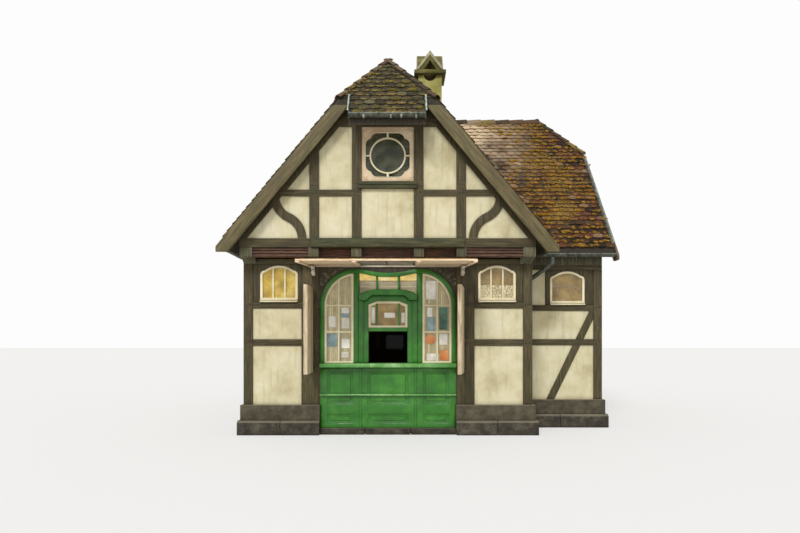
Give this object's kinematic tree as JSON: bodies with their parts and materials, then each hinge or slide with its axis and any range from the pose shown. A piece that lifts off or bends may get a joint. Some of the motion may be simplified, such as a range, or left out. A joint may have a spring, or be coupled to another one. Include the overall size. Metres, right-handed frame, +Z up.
{
  "type": "timber-framed street kiosk",
  "caption": "Half-timbered street kiosk with a cross wing, half-hipped tiled roofs, an arched green shopfront with a service hatch and a capped chimney.",
  "frame": {"origin": "centre of the main house's timber-frame plan, at ground level", "axes": "+Z up, the shopfront faces -Y, +X to the right as the front is seen, towards the wing"},
  "size_m": [6.713, 8.252, 6.83],
  "materials": {
    "natural_stone": "rough split stone",
    "base_render": "dark weathered render",
    "floor_concrete": "smooth concrete",
    "timber": "weathered dark oak",
    "carved_timber": "carved dark wood",
    "weathered_board": "weathered board with a green film",
    "raw_boards": "raw planed boards",
    "pale_wood": "pale carved wood",
    "door_paint": "matt green painted boards",
    "plaster": "fine cream plaster",
    "green_paint": "satin green paint on wood",
    "green_light_paint": "satin light green paint on wood",
    "cream_paint": "satin cream paint on wood",
    "dark_glass": "dark window glass",
    "clear_glass": "clear window glass",
    "roof_tile": "weathered clay tile with moss",
    "ridge_tile": "weathered clay ridge tile",
    "gutter_metal": "dark green gutter metal",
    "chimney_render": "weathered chimney render"
  },
  "bodies": {
    "root": {"plinth_stones": "natural_stone", "base_walls": "base_render", "floor_slab": "floor_concrete", "front_frames": "timber", "back_frame": "timber", "back_door": "door_paint", "left_frame": "timber", "return_frames": "timber", "wing_side_frames": "timber", "wing_end_frame": "timber", "wall_infill": "plaster", "wall_plates": "timber", "eaves_beams": "timber", "eaves_filling": "timber", "joists": "timber", "attic_floor": "raw_boards", "corner_corbels": "timber", "jetty_boards": "carved_timber", "gable_frames": "timber", "gable_trims": "weathered_board", "gable_infill": "plaster", "gable_windows": "timber", "window_frames": "cream_paint", "window_glass": "dark_glass", "roof_left": "roof_tile", "roof_right_front": "roof_tile", "roof_right_back": "roof_tile", "roof_wing_front": "roof_tile", "roof_wing_back": "roof_tile", "half_hips": "roof_tile", "ridge_tiles": "ridge_tile", "hip_tiles": "ridge_tile", "barge_boards": "timber", "gutters": "gutter_metal", "downpipe": "gutter_metal", "chimney_shaft": "chimney_render", "chimney_cap": "chimney_render", "shop_spandrel": "timber", "shop_arch": "green_paint", "shop_posts": "green_paint", "shop_cornice": "green_paint", "shop_pilasters": "green_paint", "hatch_surround": "green_paint", "shop_light_frames": "cream_paint", "shop_glass": "clear_glass", "counter": "green_paint", "handrail": "green_light_paint", "counter_shelf": "green_light_paint", "canopy": "raw_boards", "canopy_brackets": "pale_wood", "shutters": "raw_boards"}
  },
  "joints": []
}
